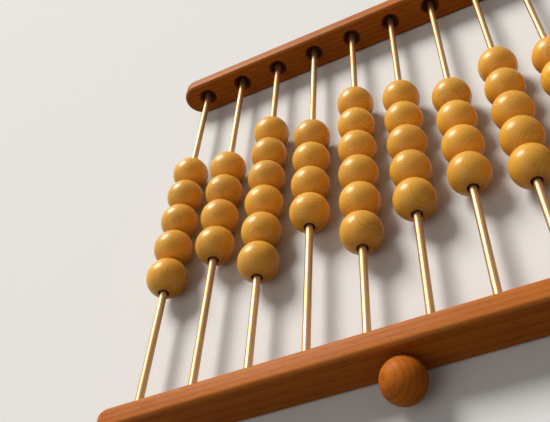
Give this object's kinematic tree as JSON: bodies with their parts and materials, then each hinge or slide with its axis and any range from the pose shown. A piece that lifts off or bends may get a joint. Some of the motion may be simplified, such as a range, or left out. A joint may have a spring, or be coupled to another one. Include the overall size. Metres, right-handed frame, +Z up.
{
  "type": "abacus",
  "caption": "Abacus that lies on two round-ended wooden rails, with wooden ball beads that slide on metal rods and a ball knob on the near rail.",
  "frame": {"origin": "on the table under the middle of the whole, knob included", "axes": "+Z up, +Y along the rods from the near rail with the knob to the far rail, +X along the rails to the right"},
  "size_m": [0.266, 0.2674, 0.0212],
  "materials": {
    "bead_wood": "satin lacquer over honey-yellow turned wood",
    "rail_wood": "satin lacquer over red-brown wood",
    "rod_steel": "drawn, warm"
  },
  "bodies": {
    "frame": {"rail_near": "rail_wood", "rail_far": "rail_wood", "rod_01": "rod_steel", "rod_02": "rod_steel", "rod_03": "rod_steel", "rod_04": "rod_steel", "rod_05": "rod_steel", "rod_06": "rod_steel", "rod_07": "rod_steel", "rod_08": "rod_steel", "rod_09": "rod_steel", "rod_10": "rod_steel", "ball_knob": "rail_wood"},
    "bead_01_1": {"bead_01_1": "bead_wood"},
    "bead_01_2": {"bead_01_2": "bead_wood"},
    "bead_01_3": {"bead_01_3": "bead_wood"},
    "bead_01_4": {"bead_01_4": "bead_wood"},
    "bead_01_5": {"bead_01_5": "bead_wood"},
    "bead_02_1": {"bead_02_1": "bead_wood"},
    "bead_02_2": {"bead_02_2": "bead_wood"},
    "bead_02_3": {"bead_02_3": "bead_wood"},
    "bead_02_4": {"bead_02_4": "bead_wood"},
    "bead_03_1": {"bead_03_1": "bead_wood"},
    "bead_03_2": {"bead_03_2": "bead_wood"},
    "bead_03_3": {"bead_03_3": "bead_wood"},
    "bead_03_4": {"bead_03_4": "bead_wood"},
    "bead_03_5": {"bead_03_5": "bead_wood"},
    "bead_03_6": {"bead_03_6": "bead_wood"},
    "bead_04_1": {"bead_04_1": "bead_wood"},
    "bead_04_2": {"bead_04_2": "bead_wood"},
    "bead_04_3": {"bead_04_3": "bead_wood"},
    "bead_04_4": {"bead_04_4": "bead_wood"},
    "bead_05_1": {"bead_05_1": "bead_wood"},
    "bead_05_2": {"bead_05_2": "bead_wood"},
    "bead_05_3": {"bead_05_3": "bead_wood"},
    "bead_05_4": {"bead_05_4": "bead_wood"},
    "bead_05_5": {"bead_05_5": "bead_wood"},
    "bead_05_6": {"bead_05_6": "bead_wood"},
    "bead_06_1": {"bead_06_1": "bead_wood"},
    "bead_06_2": {"bead_06_2": "bead_wood"},
    "bead_06_3": {"bead_06_3": "bead_wood"},
    "bead_06_4": {"bead_06_4": "bead_wood"},
    "bead_06_5": {"bead_06_5": "bead_wood"},
    "bead_07_1": {"bead_07_1": "bead_wood"},
    "bead_07_2": {"bead_07_2": "bead_wood"},
    "bead_07_3": {"bead_07_3": "bead_wood"},
    "bead_07_4": {"bead_07_4": "bead_wood"},
    "bead_08_1": {"bead_08_1": "bead_wood"},
    "bead_08_2": {"bead_08_2": "bead_wood"},
    "bead_08_3": {"bead_08_3": "bead_wood"},
    "bead_08_4": {"bead_08_4": "bead_wood"},
    "bead_08_5": {"bead_08_5": "bead_wood"},
    "bead_09_1": {"bead_09_1": "bead_wood"},
    "bead_09_2": {"bead_09_2": "bead_wood"},
    "bead_09_3": {"bead_09_3": "bead_wood"},
    "bead_09_4": {"bead_09_4": "bead_wood"},
    "bead_10_1": {"bead_10_1": "bead_wood"},
    "bead_10_2": {"bead_10_2": "bead_wood"},
    "bead_10_3": {"bead_10_3": "bead_wood"},
    "bead_10_4": {"bead_10_4": "bead_wood"}
  },
  "joints": [
    {"name": "slide_01_1", "type": "slide", "parent": "bead_01_2", "child": "bead_01_1", "axis": [0, 1, 0], "range_m": [-0.0322, 0]},
    {"name": "slide_01_2", "type": "slide", "parent": "frame", "child": "bead_01_2", "axis": [0, 1, 0], "range_m": [-0.0322, 0]},
    {"name": "slide_01_3", "type": "slide", "parent": "frame", "child": "bead_01_3", "axis": [0, 1, 0], "range_m": [0, 0.0229]},
    {"name": "slide_01_4", "type": "slide", "parent": "bead_01_3", "child": "bead_01_4", "axis": [0, 1, 0], "range_m": [0, 0.0229]},
    {"name": "slide_01_5", "type": "slide", "parent": "bead_01_4", "child": "bead_01_5", "axis": [0, 1, 0], "range_m": [0, 0.0229]},
    {"name": "slide_02_1", "type": "slide", "parent": "bead_02_2", "child": "bead_02_1", "axis": [0, 1, 0], "range_m": [-0.0378, 0]},
    {"name": "slide_02_2", "type": "slide", "parent": "frame", "child": "bead_02_2", "axis": [0, 1, 0], "range_m": [-0.0378, 0]},
    {"name": "slide_02_3", "type": "slide", "parent": "frame", "child": "bead_02_3", "axis": [0, 1, 0], "range_m": [0, 0.0387]},
    {"name": "slide_02_4", "type": "slide", "parent": "bead_02_3", "child": "bead_02_4", "axis": [0, 1, 0], "range_m": [0, 0.0387]},
    {"name": "slide_03_1", "type": "slide", "parent": "bead_03_2", "child": "bead_03_1", "axis": [0, 1, 0], "range_m": [-0.0181, 0]},
    {"name": "slide_03_2", "type": "slide", "parent": "bead_03_3", "child": "bead_03_2", "axis": [0, 1, 0], "range_m": [-0.0181, 0]},
    {"name": "slide_03_3", "type": "slide", "parent": "frame", "child": "bead_03_3", "axis": [0, 1, 0], "range_m": [-0.0181, 0]},
    {"name": "slide_03_4", "type": "slide", "parent": "frame", "child": "bead_03_4", "axis": [0, 1, 0], "range_m": [0, 0.0197]},
    {"name": "slide_03_5", "type": "slide", "parent": "bead_03_4", "child": "bead_03_5", "axis": [0, 1, 0], "range_m": [0, 0.0197]},
    {"name": "slide_03_6", "type": "slide", "parent": "bead_03_5", "child": "bead_03_6", "axis": [0, 1, 0], "range_m": [0, 0.0197]},
    {"name": "slide_04_1", "type": "slide", "parent": "bead_04_2", "child": "bead_04_1", "axis": [0, 1, 0], "range_m": [-0.0378, 0]},
    {"name": "slide_04_2", "type": "slide", "parent": "frame", "child": "bead_04_2", "axis": [0, 1, 0], "range_m": [-0.0378, 0]},
    {"name": "slide_04_3", "type": "slide", "parent": "frame", "child": "bead_04_3", "axis": [0, 1, 0], "range_m": [0, 0.0387]},
    {"name": "slide_04_4", "type": "slide", "parent": "bead_04_3", "child": "bead_04_4", "axis": [0, 1, 0], "range_m": [0, 0.0387]},
    {"name": "slide_05_1", "type": "slide", "parent": "bead_05_2", "child": "bead_05_1", "axis": [0, 1, 0], "range_m": [-0.017, 0]},
    {"name": "slide_05_2", "type": "slide", "parent": "bead_05_3", "child": "bead_05_2", "axis": [0, 1, 0], "range_m": [-0.017, 0]},
    {"name": "slide_05_3", "type": "slide", "parent": "frame", "child": "bead_05_3", "axis": [0, 1, 0], "range_m": [-0.017, 0]},
    {"name": "slide_05_4", "type": "slide", "parent": "frame", "child": "bead_05_4", "axis": [0, 1, 0], "range_m": [0, 0.0208]},
    {"name": "slide_05_5", "type": "slide", "parent": "bead_05_4", "child": "bead_05_5", "axis": [0, 1, 0], "range_m": [0, 0.0208]},
    {"name": "slide_05_6", "type": "slide", "parent": "bead_05_5", "child": "bead_05_6", "axis": [0, 1, 0], "range_m": [0, 0.0208]},
    {"name": "slide_06_1", "type": "slide", "parent": "bead_06_2", "child": "bead_06_1", "axis": [0, 1, 0], "range_m": [-0.0302, 0]},
    {"name": "slide_06_2", "type": "slide", "parent": "frame", "child": "bead_06_2", "axis": [0, 1, 0], "range_m": [-0.0302, 0]},
    {"name": "slide_06_3", "type": "slide", "parent": "frame", "child": "bead_06_3", "axis": [0, 1, 0], "range_m": [0, 0.0242]},
    {"name": "slide_06_4", "type": "slide", "parent": "bead_06_3", "child": "bead_06_4", "axis": [0, 1, 0], "range_m": [0, 0.0242]},
    {"name": "slide_06_5", "type": "slide", "parent": "bead_06_4", "child": "bead_06_5", "axis": [0, 1, 0], "range_m": [0, 0.0242]},
    {"name": "slide_07_1", "type": "slide", "parent": "bead_07_2", "child": "bead_07_1", "axis": [0, 1, 0], "range_m": [-0.0325, 0]},
    {"name": "slide_07_2", "type": "slide", "parent": "frame", "child": "bead_07_2", "axis": [0, 1, 0], "range_m": [-0.0325, 0]},
    {"name": "slide_07_3", "type": "slide", "parent": "frame", "child": "bead_07_3", "axis": [0, 1, 0], "range_m": [0, 0.044]},
    {"name": "slide_07_4", "type": "slide", "parent": "bead_07_3", "child": "bead_07_4", "axis": [0, 1, 0], "range_m": [0, 0.044]},
    {"name": "slide_08_1", "type": "slide", "parent": "bead_08_2", "child": "bead_08_1", "axis": [0, 1, 0], "range_m": [-0.0283, 0]},
    {"name": "slide_08_2", "type": "slide", "parent": "frame", "child": "bead_08_2", "axis": [0, 1, 0], "range_m": [-0.0283, 0]},
    {"name": "slide_08_3", "type": "slide", "parent": "frame", "child": "bead_08_3", "axis": [0, 1, 0], "range_m": [0, 0.0255]},
    {"name": "slide_08_4", "type": "slide", "parent": "bead_08_3", "child": "bead_08_4", "axis": [0, 1, 0], "range_m": [0, 0.0255]},
    {"name": "slide_08_5", "type": "slide", "parent": "bead_08_4", "child": "bead_08_5", "axis": [0, 1, 0], "range_m": [0, 0.0255]},
    {"name": "slide_09_1", "type": "slide", "parent": "bead_09_2", "child": "bead_09_1", "axis": [0, 1, 0], "range_m": [-0.0338, 0]},
    {"name": "slide_09_2", "type": "slide", "parent": "frame", "child": "bead_09_2", "axis": [0, 1, 0], "range_m": [-0.0338, 0]},
    {"name": "slide_09_3", "type": "slide", "parent": "frame", "child": "bead_09_3", "axis": [0, 1, 0], "range_m": [0, 0.0426]},
    {"name": "slide_09_4", "type": "slide", "parent": "bead_09_3", "child": "bead_09_4", "axis": [0, 1, 0], "range_m": [0, 0.0426]},
    {"name": "slide_10_1", "type": "slide", "parent": "bead_10_2", "child": "bead_10_1", "axis": [0, 1, 0], "range_m": [-0.0298, 0]},
    {"name": "slide_10_2", "type": "slide", "parent": "frame", "child": "bead_10_2", "axis": [0, 1, 0], "range_m": [-0.0298, 0]},
    {"name": "slide_10_3", "type": "slide", "parent": "frame", "child": "bead_10_3", "axis": [0, 1, 0], "range_m": [0, 0.0466]},
    {"name": "slide_10_4", "type": "slide", "parent": "bead_10_3", "child": "bead_10_4", "axis": [0, 1, 0], "range_m": [0, 0.0466]}
  ]
}
